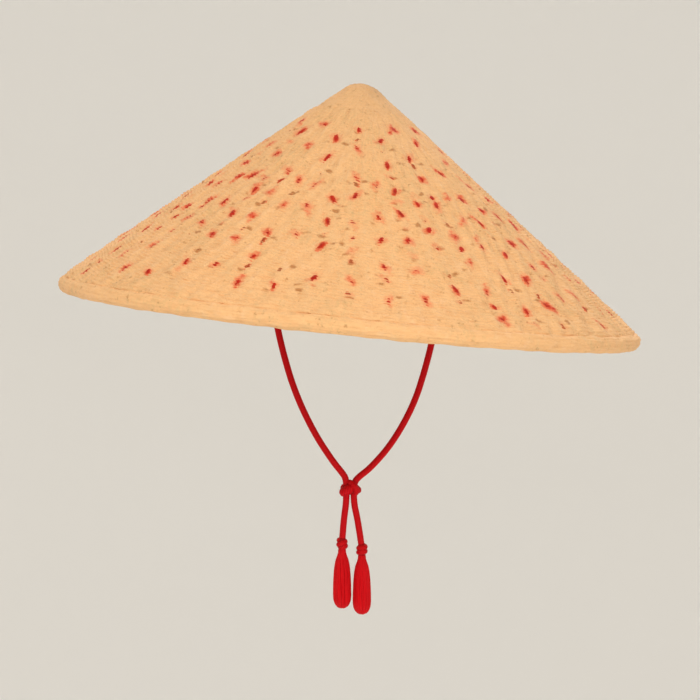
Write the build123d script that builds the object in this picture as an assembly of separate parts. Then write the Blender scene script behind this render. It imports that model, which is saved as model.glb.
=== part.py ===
from build123d import *
import math
import os

# Conical straw hat with a chin cord. Millimetres, +Z up along the hat's axis, +X to the
# wearer's left, -Y to the front. The origin is the centre of the head ring, where the hat
# sits on a head. Distances "along the slope" run up the cone's outer face from the point
# where it leaves the rolled rim, and depths are measured square to that face, inwards.

# Overall shape
brim_radius = 215.0
hat_height = 173.3
rim_roll_radius = 5.9
tip_radius = 20.6
tip_lean = -7.2
ring_above_brim = 72.0

# Straw shell
row_count = 16
straw_thickness = 3.4
row_gap = 0.8
row_edge_radius = 1.2
crown_skirt = 26.0
rim_clearance = 0.5
binding_slit = 1.2

# Bamboo frame
rib_width = 5.0
rib_thickness = 1.6
rib_clearance = 0.45
primary_rib_count = 12
secondary_rib_count = 12
tertiary_rib_count = 24
primary_rib_stop = 12.0
secondary_rib_stop = 45.0
tertiary_rib_stop = 108.0
hoop_radius = 1.8
hoop_clearance = 0.3
hoop_heights = {"lower_hoop": 58.0, "middle_hoop": 114.0, "upper_hoop": 194.0}
apex_hoop_below_tip = 25.1
rim_hoop_radius = 2.0
rim_hoop_clearance = 0.1

# Head band
head_radius = 75.0
sweatband_thickness = 1.2
sweatband_height = 25.0
band_thickness = 1.6
band_below_ring = 3.0
band_wall_clearance = 0.4
head_ring_radius = 2.5
head_ring_clearance = 0.1

# Cord tabs and their eyelets
tab_width = 14.0
tab_thickness = 1.8
tab_top = 10.0
eyelet_drop = 14.0
tab_clearance = 0.1
eyelet_bore_radius = 2.9
eyelet_tube_radius = 3.5
eyelet_flange_radius = 5.4
eyelet_flange_thickness = 0.8

# Chin cord. Each route is a list of (x, z) in the plane y = 0, from the stopper knot
# through the eyelet, down to the slide knot and on to the end knot.
cord_diameter = 5.0
left_route = [
    (-76.0, -14.0), (-70.5, -14.2), (-67.0, -17.2), (-65.5, -23.5), (-64.0, -34.0),
    (-60.5, -54.0), (-54.4, -76.4), (-46.5, -101.0), (-34.5, -130.5), (-17.5, -159.0),
    (-0.5, -180.0), (7.0, -187.2), (10.6, -192.0), (12.2, -208.6), (11.6, -222.0),
    (12.0, -235.9),
]
right_route = [
    (76.0, -14.0), (70.6, -14.2), (67.6, -17.6), (66.8, -24.0), (66.8, -35.0),
    (66.2, -54.0), (64.0, -77.0), (60.7, -102.0), (54.8, -131.0), (42.0, -161.0),
    (27.5, -181.5), (19.6, -188.8), (16.2, -193.8), (17.8, -209.0), (22.0, -221.0),
    (26.5, -239.0),
]
arc_share = 0.45
stopper_knot_radius = 4.6
end_knot_radius = 4.3
knot_face_share = 0.78

# Slide knot. Gravity pulls the cord this many degrees off the hat's own axis.
hang_angle = 5.86
slide_knot_centre = (13.9, -198.5)
slide_knot_width = 17.0
slide_knot_depth = 12.6
slide_knot_height = 12.0
slide_knot_edge = 2.2
lane_spacing = 5.5
lane_clearance = 0.3
mouth_flare = 1.5
mouth_waist = 1.5

# Tassels: (distance below the end knot's centre, radius)
tassel_neck = [(4.9, 2.7), (5.4, 3.2), (9.3, 3.2), (9.8, 2.7)]
tassel_skirt = [(10.0, 2.6), (13.0, 4.9), (20.0, 5.8), (37.0, 6.6), (43.5, 5.9), (47.6, 2.4)]

# The slope, worked out from the rim roll and the tip's round
brim_z = -ring_above_brim
rim_centre = (brim_radius - rim_roll_radius, brim_z + rim_roll_radius)
tip_z = brim_z + hat_height - tip_radius
centre_distance = math.hypot(rim_centre[0], tip_z - rim_centre[1])
radius_step = tip_radius - rim_roll_radius
slope_angle = math.atan2(tip_z - rim_centre[1], rim_centre[0]) + math.asin(
    radius_step / centre_distance
)
slope_length = math.sqrt(centre_distance**2 - radius_step**2)
slope_up = (-math.cos(slope_angle), math.sin(slope_angle))
slope_out = (math.sin(slope_angle), math.cos(slope_angle))
slope_start = (
    rim_centre[0] + rim_roll_radius * slope_out[0],
    rim_centre[1] + rim_roll_radius * slope_out[1],
)
rib_depth = straw_thickness + rib_clearance
frame_depth = rib_depth + rib_thickness
cord_radius = cord_diameter / 2


def wall_point(along, depth):
    """(radius, z) of a point on the slope, a depth inside its outer face."""
    r = slope_start[0] + along * slope_up[0] - depth * slope_out[0]
    z = slope_start[1] + along * slope_up[1] - depth * slope_out[1]
    return r, z


def lean_at(z):
    """How far the hat's centre has moved along X at a height, as the tip leans."""
    return tip_lean * (z - rim_centre[1]) / (tip_z - rim_centre[1])


def first_row_start(depth):
    """Where a layer of that depth clears the rim roll."""
    half_chord = math.sqrt(max(0.0, rim_roll_radius**2 - (rim_roll_radius - depth) ** 2))
    return half_chord + rim_clearance


def polygon(points):
    """A flat face in the XZ plane from (x, z) points."""
    return make_face(Polyline(*[(x, 0, z) for x, z in points], close=True))


def ring(section, z):
    """A section turned about the hat's axis and moved to the hat's centre at height z."""
    return Pos(lean_at(z), 0, 0) * revolve(section, Axis.Z)


def straw_row(start, end):
    """One course of woven straw, a conical band with rounded edges."""
    corners = [wall_point(start, 0), wall_point(end, 0)]
    corners += [wall_point(end, straw_thickness), wall_point(start, straw_thickness)]
    section = polygon(corners)
    section = fillet(section.vertices(), row_edge_radius)
    return ring(section, (corners[0][1] + corners[1][1]) / 2)


def crown_tip(skirt_start):
    """The closed straw cap: a dome with a short skirt down the slope."""
    outer_start, inner_start = wall_point(skirt_start, 0), wall_point(skirt_start, straw_thickness)
    outer_end, inner_end = wall_point(slope_length, 0), wall_point(slope_length, straw_thickness)
    half_angle = slope_angle / 2

    def dome_point(radius, angle):
        return (radius * math.sin(angle), 0, tip_z + radius * math.cos(angle))

    def on_plane(point):
        return (point[0], 0, point[1])

    inner_radius = tip_radius - straw_thickness
    outline = [
        Line(on_plane(inner_start), on_plane(outer_start)),
        Line(on_plane(outer_start), on_plane(outer_end)),
        ThreePointArc(
            on_plane(outer_end), dome_point(tip_radius, half_angle), dome_point(tip_radius, 0)
        ),
        Line(dome_point(tip_radius, 0), dome_point(inner_radius, 0)),
        ThreePointArc(
            dome_point(inner_radius, 0), dome_point(inner_radius, half_angle), on_plane(inner_end)
        ),
        Line(on_plane(inner_end), on_plane(inner_start)),
    ]
    section = make_face(Wire(outline))
    return ring(section, (outer_start[1] + outer_end[1]) / 2)


def rib(angle, start, end):
    """A straight bamboo strip against the inside of the straw, from the rim towards the tip."""
    ends = []
    for along in (start, end):
        r, z = wall_point(along, rib_depth + rib_thickness / 2)
        ends.append(Vector(lean_at(z) + r * math.cos(angle), r * math.sin(angle), z))
    along_rib = (ends[1] - ends[0]).normalized()
    across = Vector(-math.sin(angle), math.cos(angle), 0)
    face_out = along_rib.cross(across).normalized()
    place = Plane(origin=(ends[0] + ends[1]) / 2, x_dir=along_rib, z_dir=face_out)
    return place * Box((ends[1] - ends[0]).length, rib_width, rib_thickness)


def ribs(count, stop_below_tip, first_angle):
    """A set of ribs, evenly spaced round the hat."""
    start = rim_roll_radius + rim_clearance
    end = slope_length - stop_below_tip
    angles = [math.radians(first_angle + 360 / count * i) for i in range(count)]
    return Compound([rib(angle, start, end) for angle in angles])


def hoop(along):
    """A bamboo hoop inside the ribs."""
    r, z = wall_point(along, frame_depth + hoop_clearance + hoop_radius)
    return Pos(lean_at(z), 0, z) * Torus(r, hoop_radius)


def rim_hoop():
    """The bamboo hoop that the rolled rim is wound on."""
    return Pos(0, 0, rim_centre[1]) * Torus(rim_centre[0], rim_hoop_radius)


def rim_binding():
    """The straw roll round the rim hoop, open in a slit towards the shell."""
    tube = Circle(rim_roll_radius) - Circle(rim_hoop_radius + rim_hoop_clearance)
    slit_angle = 180 - math.degrees(slope_angle)
    slit = Rot(0, 0, slit_angle) * Pos(rim_roll_radius, 0) * Rectangle(2 * rim_roll_radius, binding_slit)
    return revolve(Plane.XZ * (Pos(*rim_centre) * (tube - slit)), Axis.Z)


def head_space():
    """The room inside the frame, a cone that leans with the hat."""
    depth = frame_depth + band_wall_clearance
    circles = []
    for along in (0, slope_length):
        r, z = wall_point(along, depth)
        circles.append(Pos(lean_at(z), 0, z) * Circle(r))
    return loft(circles)


def band(inner_radius, thickness, height):
    """A straight cylinder wall, from just below the head ring upwards."""
    middle = height / 2 - band_below_ring
    wall = Cylinder(inner_radius + thickness, height) - Cylinder(inner_radius, height)
    return Pos(0, 0, middle) * wall


def head_band():
    """The woven band that stands between the head ring and the ribs."""
    inner_radius = head_radius + sweatband_thickness
    return band(inner_radius, band_thickness, hat_height) & head_space()


def head_ring():
    """The rattan ring outside the band's lower edge."""
    inner_radius = head_radius + sweatband_thickness + band_thickness + head_ring_clearance
    return Torus(inner_radius + head_ring_radius, head_ring_radius)


def tab_faces():
    """Distances from the axis to a tab's inner and outer face."""
    outer = math.sqrt(head_radius**2 - (tab_width / 2) ** 2) - tab_clearance
    return outer - tab_thickness, outer


def cord_tab(side):
    """A cloth tab sewn inside the sweatband, with a round lower end and a hole."""
    inner, outer = tab_faces()
    straight = tab_top + eyelet_drop
    plate = Pos(0, straight / 2 - eyelet_drop) * Rectangle(tab_width, straight)
    plate = plate + Pos(0, -eyelet_drop) * Circle(tab_width / 2)
    plate = plate - Pos(0, -eyelet_drop) * Circle(eyelet_tube_radius)
    place = Plane(origin=(side * inner, 0, 0), x_dir=(0, side, 0), z_dir=(side, 0, 0))
    return extrude(place * plate, tab_thickness)


def eyelet(side):
    """A brass eyelet: a tube through the tab with a flange on each face."""
    inner, outer = tab_faces()
    length = tab_thickness + 2 * eyelet_flange_thickness
    barrel = Cylinder(eyelet_tube_radius, length)
    flange = Cylinder(eyelet_flange_radius, eyelet_flange_thickness)
    offset = (length - eyelet_flange_thickness) / 2
    body = barrel + Pos(0, 0, offset) * flange + Pos(0, 0, -offset) * flange
    body = body - Cylinder(eyelet_bore_radius, 2 * length)
    place = Plane(origin=(side * (inner + outer) / 2, 0, -eyelet_drop), z_dir=(1, 0, 0))
    return place * body


def arc_radii(route):
    """The radius of the arc at each corner of a route."""
    radii = []
    for before, here, after in zip(route, route[1:], route[2:]):
        run_in = Vector(here[0] - before[0], 0, here[1] - before[1])
        run_out = Vector(after[0] - here[0], 0, after[1] - here[1])
        turn = math.radians(run_in.get_angle(run_out))
        shorter = min(run_in.length, run_out.length)
        radii.append(arc_share * shorter / math.tan(turn / 2))
    return radii


def cord(name, route):
    """A round cord along straight runs joined by tangent arcs."""
    radii = arc_radii(route)
    path = FilletPolyline(*[(x, 0, z) for x, z in route], radius=radii)
    start = Plane(origin=path @ 0, z_dir=path % 0)
    tube = sweep(start * Circle(cord_radius), path=path)
    share = tube.volume / (math.pi * cord_radius**2 * path.length)
    print(name, "length", round(path.length, 1), "volume share", round(share, 4))
    print(name, "arc radii", [round(r, 1) for r in radii])
    return tube


def knot_on_cord(end, before, radius):
    """A round knot with a flat face where the cord's end meets it, and the knot's centre."""
    run = Vector(end[0] - before[0], 0, end[1] - before[1]).normalized()
    face = Plane(origin=(end[0], 0, end[1]), z_dir=run)
    centre = face.origin + run * knot_face_share * radius
    ball = Pos(centre) * Sphere(radius)
    return split(ball, bisect_by=face, keep=Keep.TOP), centre


def slide_knot():
    """The knot that both cords run through, with a slot that flares at each mouth."""
    half_slot = (lane_spacing + cord_diameter) / 2 + lane_clearance
    half_height = slide_knot_height / 2
    body = Box(slide_knot_width, slide_knot_depth, slide_knot_height)
    body = fillet(body.edges().filter_by(Axis.Z), slide_knot_edge)
    body = fillet(body.faces().sort_by(Axis.Z)[-1].edges(), slide_knot_edge / 2)
    body = fillet(body.faces().sort_by(Axis.Z)[0].edges(), slide_knot_edge / 2)
    side = [
        (half_slot + mouth_flare, half_height), (half_slot, mouth_waist),
        (half_slot, -mouth_waist), (half_slot + mouth_flare, -half_height),
    ]
    outline = side + [(-x, z) for x, z in reversed(side)]
    slot_depth = cord_diameter + 2 * lane_clearance
    slot = extrude(polygon(outline), slot_depth / 2, both=True)
    place = Pos(slide_knot_centre[0], 0, slide_knot_centre[1]) * Rot(0, -hang_angle, 0)
    return place * (body - slot)


def tassel_piece(profile, centre):
    """A round piece that hangs plumb below an end knot."""
    outline = [(0.0, -profile[0][0])] + [(r, -t) for t, r in profile] + [(0.0, -profile[-1][0])]
    piece = revolve(polygon(outline), Axis.Z)
    return Pos(centre) * Rot(0, -hang_angle, 0) * piece


def build():
    """Every sub-part by name."""
    skirt_start = slope_length - crown_skirt
    row_start = first_row_start(straw_thickness)
    pitch = (skirt_start - row_start) / row_count
    parts = {"crown_tip": crown_tip(skirt_start)}
    for i in range(row_count):
        start = row_start + i * pitch
        parts[f"straw_row_{i + 1:02d}"] = straw_row(start, start + pitch - row_gap)
    rib_step = 360 / (primary_rib_count + secondary_rib_count)
    parts["primary_ribs"] = ribs(primary_rib_count, primary_rib_stop, 0)
    parts["secondary_ribs"] = ribs(secondary_rib_count, secondary_rib_stop, rib_step)
    parts["tertiary_ribs"] = ribs(tertiary_rib_count, tertiary_rib_stop, rib_step / 2)
    for name, along in hoop_heights.items():
        parts[name] = hoop(along)
    parts["apex_hoop"] = hoop(slope_length - apex_hoop_below_tip)
    parts["rim_hoop"] = rim_hoop()
    parts["rim_binding"] = rim_binding()
    parts["head_band"] = head_band()
    sweatband = band(head_radius, sweatband_thickness, sweatband_height)
    parts["sweatband"] = sweatband & head_space()
    parts["head_ring"] = head_ring()
    for name, side, route in (("left", -1, left_route), ("right", 1, right_route)):
        parts[f"{name}_cord_tab"] = cord_tab(side)
        parts[f"{name}_eyelet"] = eyelet(side)
        parts[f"{name}_cord"] = cord(f"{name}_cord", route)
        parts[f"{name}_stopper_knot"], _ = knot_on_cord(route[0], route[1], stopper_knot_radius)
        parts[f"{name}_end_knot"], centre = knot_on_cord(route[-1], route[-2], end_knot_radius)
        parts[f"{name}_tassel_neck"] = tassel_piece(tassel_neck, centre)
        parts[f"{name}_tassel_skirt"] = tassel_piece(tassel_skirt, centre)
        print(name, "end knot centre", [round(v, 2) for v in centre])
    parts["slide_knot"] = slide_knot()
    return parts


os.makedirs("parts", exist_ok=True)
print("slope angle", round(math.degrees(slope_angle), 2), "length", round(slope_length, 1))
for node, shape in build().items():
    export_step(shape, f"parts/{node}.step")
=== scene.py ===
import bpy
import math
import numpy as np
import random
from mathutils import Matrix, Vector


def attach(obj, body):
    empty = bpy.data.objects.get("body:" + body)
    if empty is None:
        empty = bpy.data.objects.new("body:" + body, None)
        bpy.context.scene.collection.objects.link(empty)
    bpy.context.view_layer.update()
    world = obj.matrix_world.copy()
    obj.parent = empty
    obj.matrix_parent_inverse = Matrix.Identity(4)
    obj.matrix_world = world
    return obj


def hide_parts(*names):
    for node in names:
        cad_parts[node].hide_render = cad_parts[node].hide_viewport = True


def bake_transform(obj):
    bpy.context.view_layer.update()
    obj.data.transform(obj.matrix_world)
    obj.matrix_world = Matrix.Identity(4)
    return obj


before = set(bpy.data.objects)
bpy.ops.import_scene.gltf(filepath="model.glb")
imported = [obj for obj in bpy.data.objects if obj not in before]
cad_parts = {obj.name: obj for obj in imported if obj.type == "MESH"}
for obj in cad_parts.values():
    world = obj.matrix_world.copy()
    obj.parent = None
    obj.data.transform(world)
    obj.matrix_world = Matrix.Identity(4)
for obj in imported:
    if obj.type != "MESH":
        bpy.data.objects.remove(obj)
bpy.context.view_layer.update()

# %% [markdown]
# ## The sizes of the cone
# All sizes are in metres. The slope of the hat is a straight line from the rim roll to the tip ball.
# A place on the wall is given by how far it is up the slope and how deep it is under the outside.
# The whole hat leans a little to one side as it rises, so the pieces are made upright and
# one shear leans them all at the end.
# %% Sizes of the cone
MM = 0.001
RIM_ROLL = 5.9 * MM
RIM_R, RIM_Z = 209.1 * MM, -66.1 * MM
TIP_BALL, TIP_Z = 20.6 * MM, 80.7 * MM
SLOPE = math.radians(38.37)
UP = (-math.cos(SLOPE), math.sin(SLOPE))
OUT = (math.sin(SLOPE), math.cos(SLOPE))
START = (RIM_R + RIM_ROLL * OUT[0], RIM_Z + RIM_ROLL * OUT[1])
SLOPE_LENGTH = 255.1 * MM
ROWS = 16
ROW_START = 5.84 * MM
ROW_PITCH = 13.954 * MM
STRAW = 3.4 * MM
TIP_LEAN = -7.2 * MM
LEAN = Matrix.Identity(4)
LEAN[0][2] = TIP_LEAN / (TIP_Z - RIM_Z)
LEAN[0][3] = -RIM_Z * LEAN[0][2]
LEVEL = Matrix.Identity(4)


def wall(along, depth):
    """The radius and height of a place on the wall."""
    r = START[0] + along * UP[0] - depth * OUT[0]
    z = START[1] + along * UP[1] - depth * OUT[1]
    return r, z


print("slope starts at", [round(x, 4) for x in START], "and ends at", wall(SLOPE_LENGTH, 0))

# %% [markdown]
# ## Tools for modelling
# A hand modeller adds a primitive, opens edit mode, shapes it and leaves edit mode again.
# These few functions keep those steps short, and each one first deselects everything else.
# %% Reading and writing points


def clear():
    """Leave edit mode and deselect everything."""
    if bpy.context.object and bpy.context.object.mode != "OBJECT":
        bpy.ops.object.mode_set(mode="OBJECT")
    bpy.ops.object.select_all(action="DESELECT")


def active(obj):
    clear()
    obj.select_set(True)
    bpy.context.view_layer.objects.active = obj


def coords(obj):
    data = np.empty(len(obj.data.vertices) * 3, np.float32)
    obj.data.vertices.foreach_get("co", data)
    return data.reshape(-1, 3).astype(float)


def set_coords(obj, points):
    obj.data.vertices.foreach_set("co", np.asarray(points, np.float32).ravel())
    obj.data.update()


def polar(obj):
    """The angle, radius and height of every point."""
    x, y, z = coords(obj).T
    return np.arctan2(y, x), np.hypot(x, y), z


def set_polar(obj, angle, radius, height):
    set_coords(obj, np.stack([radius * np.cos(angle), radius * np.sin(angle), height], axis=1))


def store(obj, name, values):
    """Keep one number for each vertex, for the material to read."""
    layer = obj.data.attributes.new(name, "FLOAT", "POINT")
    numbers = np.ones(len(obj.data.vertices)) * values
    layer.data.foreach_set("value", numbers.astype(np.float32))


# %% Making shapes
def added(add, **settings):
    """A new primitive, with nothing else selected."""
    clear()
    add(**settings)
    return bpy.context.object


def edit_all():
    """Open edit mode on the active piece, with all of it selected."""
    bpy.ops.object.mode_set(mode="EDIT")
    bpy.ops.mesh.select_all(action="SELECT")


def halved():
    """Cut every edge of the active piece in two."""
    edit_all()
    bpy.ops.mesh.subdivide(number_cuts=1)
    bpy.ops.object.mode_set(mode="OBJECT")


def outward(obj):
    """Turn every face outward."""
    active(obj)
    edit_all()
    bpy.ops.mesh.normals_make_consistent(inside=False)
    bpy.ops.object.mode_set(mode="OBJECT")


def spun(section, steps):
    """A ring: an outline of (radius, height) points is spun once round the vertical axis."""
    obj = added(bpy.ops.mesh.primitive_circle_add, vertices=len(section), radius=0.01)
    set_coords(obj, [(r, 0, z) for r, z in section])
    edit_all()
    bpy.ops.mesh.spin(steps=steps, angle=2 * math.pi, center=(0, 0, 0), axis=(0, 0, 1))
    bpy.ops.mesh.select_all(action="SELECT")
    bpy.ops.mesh.remove_doubles(threshold=1e-5)
    bpy.ops.mesh.delete_loose(use_verts=True, use_edges=True, use_faces=False)
    outward(obj)
    return obj


def torus(major, minor, around, section, height=0.0):
    obj = added(
        bpy.ops.mesh.primitive_torus_add, major_radius=major, minor_radius=minor,
        major_segments=around, minor_segments=section,
    )
    obj.data.transform(move(0, 0, height))
    return obj


def modified(obj, kind, **settings):
    """Add a modifier and apply it at once."""
    modifier = obj.modifiers.new(kind, kind)
    for key, value in settings.items():
        setattr(modifier, key, value)
    active(obj)
    bpy.ops.object.modifier_apply(modifier=kind)


# %% Copying, joining and placing
def move(x, y, z):
    return Matrix.Translation((x, y, z))


def turn(degrees, axis="Z"):
    return Matrix.Rotation(math.radians(degrees), 4, axis)


def stretch(x, y, z):
    return Matrix.Diagonal((x, y, z, 1))


def copied(obj, matrix):
    """A copy with its own mesh, moved by a matrix."""
    other = obj.copy()
    other.data = obj.data.copy()
    bpy.context.collection.objects.link(other)
    other.data.transform(matrix)
    return other


def joined(objects):
    active(objects[0])
    for obj in objects:
        obj.select_set(True)
    bpy.ops.object.join()
    return bpy.context.object


def drop(obj):
    bpy.data.objects.remove(obj, do_unlink=True)


def smooth(obj, angle):
    active(obj)
    bpy.ops.object.shade_smooth_by_angle(angle=math.radians(angle))
    for name in [m.name for m in obj.modifiers]:
        bpy.ops.object.modifier_apply(modifier=name)


def place(obj, name, body, material, nodes=(), lean=LEVEL, angle=60):
    """The last steps for every piece: name, place, shading, material and body; the model parts it
    stands for are hidden.
    """
    obj.name = name
    obj.data.name = name
    obj.data.transform(lean)
    smooth(obj, angle)
    obj.data.materials.clear()
    obj.data.materials.append(material)
    if nodes:
        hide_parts(*nodes)
    if body:
        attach(obj, body)


# %% [markdown]
# ## Sums for materials
# A material is a chain of small sums. This class lets the sums be written as ordinary arithmetic,
# and each sum becomes one Math node.
# %% Sums for materials


def linear(r, g, b):
    """A display colour from 0 to 255 as the linear colour that the shader takes."""
    channels = []
    for value in (r, g, b):
        c = value / 255
        channels.append(c / 12.92 if c <= 0.04045 else ((c + 0.055) / 1.055) ** 2.4)
    return (*channels, 1.0)


class Sum:
    """A socket that takes part in arithmetic."""

    def __init__(self, paint, socket):
        self.paint = paint
        self.socket = socket

    def math(self, kind, *others, clamp=False):
        node = self.paint.tree.nodes.new("ShaderNodeMath")
        node.operation = kind
        node.use_clamp = clamp
        for place_in, value in zip(node.inputs, (self, *others)):
            self.paint.put(place_in, value)
        return Sum(self.paint, node.outputs[0])

    def __add__(self, other):
        return self.math("ADD", other)

    __radd__ = __add__

    def __sub__(self, other):
        return self.math("SUBTRACT", other)

    def __mul__(self, other):
        return self.math("MULTIPLY", other)

    def __truediv__(self, other):
        return self.math("DIVIDE", other)

    def sine(self):
        return self.math("SINE")

    def size(self):
        return self.math("ABSOLUTE")

    def limit(self):
        return self.math("ADD", 0.0, clamp=True)

    def ramp(self, low, high):
        """Rises from 0 at low to 1 at high, and stays there."""
        return ((self - low) / (high - low)).limit()


# %% [markdown]
# ## Nodes for materials
# Every material starts from the Principled shader. Its sockets take a number, a colour or a sum,
# and one method adds any node that is not a Math node.
# %% Nodes for materials


class Paint:
    """A material with a Principled shader, and the nodes that feed it."""

    def __init__(self, name, **settings):
        self.material = bpy.data.materials.new(name)
        self.material.use_nodes = True
        self.tree = self.material.node_tree
        self.shader = next(n for n in self.tree.nodes if n.type == "BSDF_PRINCIPLED")
        for key, value in settings.items():
            self.shader.inputs[key.replace("_", " ")].default_value = value

    def put(self, socket, value):
        if isinstance(value, Sum):
            self.tree.links.new(value.socket, socket)
        else:
            socket.default_value = value

    def node(self, kind, settings=None, inputs=None, out=0):
        """Any other node: its type, its settings, and what goes into its sockets."""
        made = self.tree.nodes.new(kind)
        for key, value in (settings or {}).items():
            setattr(made, key, value)
        for key, value in (inputs or {}).items():
            self.put(made.inputs[key], value)
        return Sum(self, made.outputs[out])

    def place_at(self):
        return self.node("ShaderNodeTexCoord", out="Object")

    def flat_map(self):
        return self.node("ShaderNodeTexCoord", out="UV")

    def split(self, vector):
        node = self.tree.nodes.new("ShaderNodeSeparateXYZ")
        self.put(node.inputs[0], vector)
        return [Sum(self, node.outputs[k]) for k in range(3)]

    def vector(self, x, y, z):
        return self.node("ShaderNodeCombineXYZ", None, {"X": x, "Y": y, "Z": z})

    def noise(self, vector, scale, detail=2.0, rough=0.5):
        inputs = {"Vector": vector, "Scale": scale, "Detail": detail, "Roughness": rough}
        return self.node("ShaderNodeTexNoise", None, inputs)

    def streaks(self, x, y, z, detail=2.0, rough=0.5):
        """Noise that is drawn out by scaling each direction on its own."""
        return self.noise(self.vector(x, y, z), 1.0, detail, rough)

    def stored(self, name):
        return self.node("ShaderNodeAttribute", {"attribute_name": name}, out="Fac")

    def mix(self, first, second, factor):
        node = self.tree.nodes.new("ShaderNodeMix")
        node.data_type = "RGBA"
        colours = [s for s in node.inputs if s.type == "RGBA"]
        self.put(node.inputs[0], factor)
        for socket, value in zip(colours, (first, second)):
            self.put(socket, linear(*value) if isinstance(value, tuple) else value)
        return Sum(self, next(s for s in node.outputs if s.type == "RGBA"))

    def layers(self, base, *coats):
        """Colours laid over a base in turn, each with how much of it shows."""
        for colour, share in coats:
            base = self.mix(base, colour, share)
        return base

    def finished(self, colour, rough, height=None, distance=0.0, strength=1.0):
        """Plug in what varies over the surface, and give the material."""
        self.put(self.shader.inputs["Base Color"], colour)
        self.put(self.shader.inputs["Roughness"], rough)
        if height is not None:
            inputs = {"Height": height, "Distance": distance, "Strength": strength}
            bump = self.node("ShaderNodeBump", None, inputs)
            self.put(self.shader.inputs["Normal"], bump)
        return self.material


# %% [markdown]
# ## The straw
# The straw is split palm leaf, dried and pressed flat, so it is matt and slightly waxy. Its fibres
# run along each straw, which here means round the hat. The colour wanders from cream to peach, with
# khaki patches where the leaf was greener. Red dye has run out of the strands into the straw, and the
# middle of each fleck is darkened further with painted shade. The grooves between the straws get
# painted shade too, and small dark brownish marks beside the flecks are painted shade of gaps in the
# weave. The colour wanders from cream to peach, with
# khaki patches where the leaf was greener. Red dye has run out of the strands into the straw.
# %% Straw material


def round_the_hat(paint):
    """Coordinates that run round the hat without a seam, and its height."""
    spot = paint.place_at()
    x, y, z = paint.split(spot)
    flat = paint.vector(x, y, 0.0)
    unit = paint.node("ShaderNodeVectorMath", {"operation": "NORMALIZE"}, {0: flat})
    ux, uy, _ = paint.split(unit)
    return ux, uy, z


def straw_paint(name, base, deep, dyed_and_shaded):
    paint = Paint(name, Sheen_Weight=0.07, Sheen_Roughness=0.6, Specular_IOR_Level=0.24)
    ux, uy, z = round_the_hat(paint)
    long_fibres = paint.streaks(ux * 22, uy * 22, z * 520, 3.0, 0.6)
    fine_fibres = paint.streaks(ux * 70, uy * 70, z * 2600)
    plaits = paint.streaks(ux * 46, uy * 46, z * 210, 3.0, 0.65)
    patches = paint.noise(paint.place_at(), 26.0, 3.0, 0.6)
    spots = paint.noise(paint.place_at(), 260.0, 3.0, 0.65)
    colour = paint.layers(
        base,
        (deep, long_fibres.ramp(0.44, 0.76) * 0.4),
        (CREAM, plaits.ramp(0.5, 0.72) * 0.4),
        (KHAKI, patches.ramp(0.42, 0.66) * plaits.ramp(0.44, 0.62) * 0.42),
        (OLD_LEAF, spots.ramp(0.6, 0.7) * patches.ramp(0.36, 0.56) * 0.5),
    )
    if dyed_and_shaded:
        ragged = (spots - 0.5) * 1.9
        gap_shade_mask = paint.stored("gap_shade") + ragged * 0.75
        # This mask carries the dye stain, and its highest part carries the painted shade of the
        # fleck's middle.
        run = paint.stored("dye_run_and_shade") + ragged * 0.55
        colour = paint.layers(
            colour,
            # Painted shade: the grooves between the round straws are darkened.
            (SHADE, paint.stored("groove") * long_fibres.ramp(0.35, 0.6) * 0.16),
            # Painted shade of small gaps in the weave beside the flecks.
            (GAP_SHADE, gap_shade_mask.ramp(0.22, 0.7) * 0.74),
            (PALE_DYE, run.ramp(0.16, 0.6) * 0.8),
            (FULL_DYE, run.ramp(0.5, 0.88) * 0.87),
            # Dye with painted shade: the darkest red in the middle of a fleck stands for the shade of
            # its recess.
            (SHADED_DYE_CORE, run.ramp(0.84, 1.1) * 0.75),
        )
    height = long_fibres * 0.3 + fine_fibres * 0.2 + plaits * 0.5
    return paint.finished(colour, 0.7 + long_fibres * 0.16, height, 0.0022, 0.9)


CREAM, KHAKI, OLD_LEAF = (250, 204, 158), (204, 166, 104), (166, 122, 64)
# Painted shade colours: the first darkens the grooves between straws, the second marks small gaps in
# the weave.
SHADE, GAP_SHADE = (196, 134, 80), (174, 106, 46)
# The last of these reds is dye darkened with painted shade, for the middle of a fleck.
PALE_DYE, FULL_DYE, SHADED_DYE_CORE = (236, 138, 90), (212, 56, 16), (158, 24, 4)
straw_skin = straw_paint("straw_skin", (242, 189, 131), (226, 163, 104), True)
straw_plain = straw_paint("straw_plain", (240, 196, 142), (214, 160, 102), False)
print("straw materials made")

# %% [markdown]
# ## Where the strands surface
# Strands of dyed leaf run from the rim to the tip under the courses of straw. At every second
# course a strand passes over the straw instead of under it, and shows as a small red fleck.
# The next strand does it on the courses between, so the flecks lie in a diamond pattern.
# A weaver misses some, and none are worked into the tight turns near the tip.
# %% Where the strands surface
flecks = random.Random(41)
STRANDS = {
    "primary_ribs": {"first": 0.0, "step": 30.0, "end": 243.0 * MM},
    "secondary_ribs": {"first": 15.0, "step": 30.0, "end": 210.0 * MM},
    "tertiary_ribs": {"first": 7.5, "step": 15.0, "end": 147.0 * MM},
}
LAST_FLECK = 217 * MM
MAIN_STRANDS = 24


def fleck_here(over, row):
    """Whether a fleck shows: on most of the courses passed over, and faintly on a few of the rest."""
    keep = 0.94 if over else 0.6
    if row == 0:
        keep *= 0.35
    return flecks.random() < keep


def blots():
    """Where the dye has run: a few soft blots near the middle of the fleck."""
    made = [(0, 0, 0.46, 0.36, 1.0)]
    ranges = ((-0.4, 0.4), (-0.42, 0.42), (0.2, 0.36), (0.18, 0.34), (0.4, 0.95))
    for _ in range(3):
        made.append([flecks.uniform(low, high) for low, high in ranges])
    return made


def strand_angles(strand):
    return [strand["first"] + k * strand["step"] for k in range(round(360 / strand["step"]))]


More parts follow.
